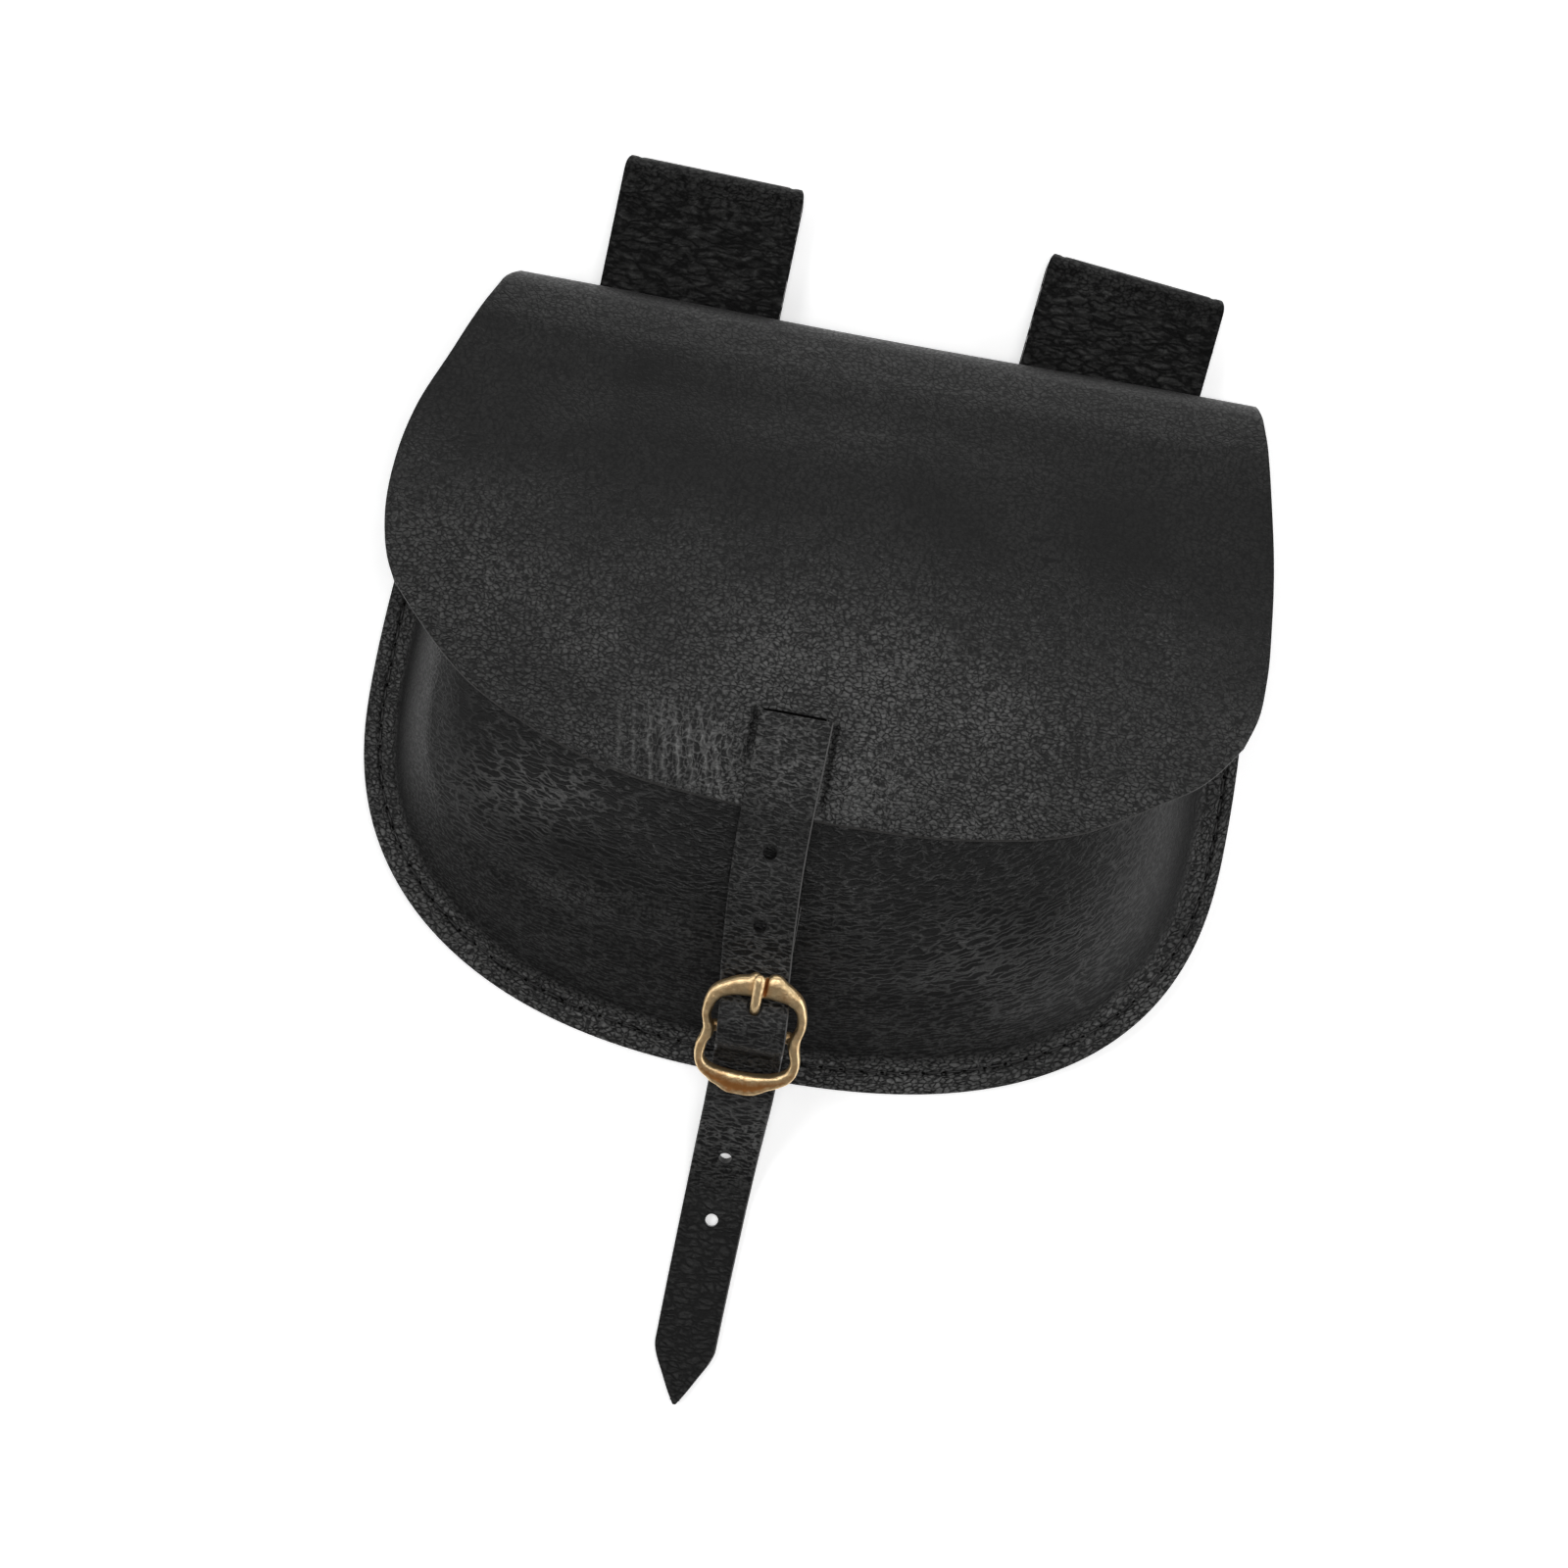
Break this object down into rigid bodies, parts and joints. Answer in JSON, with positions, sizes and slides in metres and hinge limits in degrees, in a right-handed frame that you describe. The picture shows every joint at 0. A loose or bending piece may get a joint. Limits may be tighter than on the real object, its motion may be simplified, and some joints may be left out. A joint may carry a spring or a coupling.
{
  "type": "leather belt pouch",
  "caption": "Rounded leather belt pouch with a moulded front, a wide flap, two belt loops and a front strap held by a cast double-loop buckle.",
  "frame": {"origin": "on the flat underside of the back, level with the widest line of the body", "axes": "lying face up: +Z out of the front, +Y over the fold to the belt loops, +X to the right as one looks down on the flap"},
  "size_m": [0.2163, 0.304, 0.0496],
  "materials": {
    "leather": "black, pebbled grain, semi-gloss",
    "brass": "cast and tumbled, softly polished"
  },
  "bodies": {
    "root": {"back_and_flap": "leather", "front_panel": "leather", "belt_loop_left": "leather", "belt_loop_right": "leather", "closing_strap": "leather", "buckle_tab": "leather", "buckle_frame": "brass", "buckle_prong": "brass"}
  },
  "joints": []
}
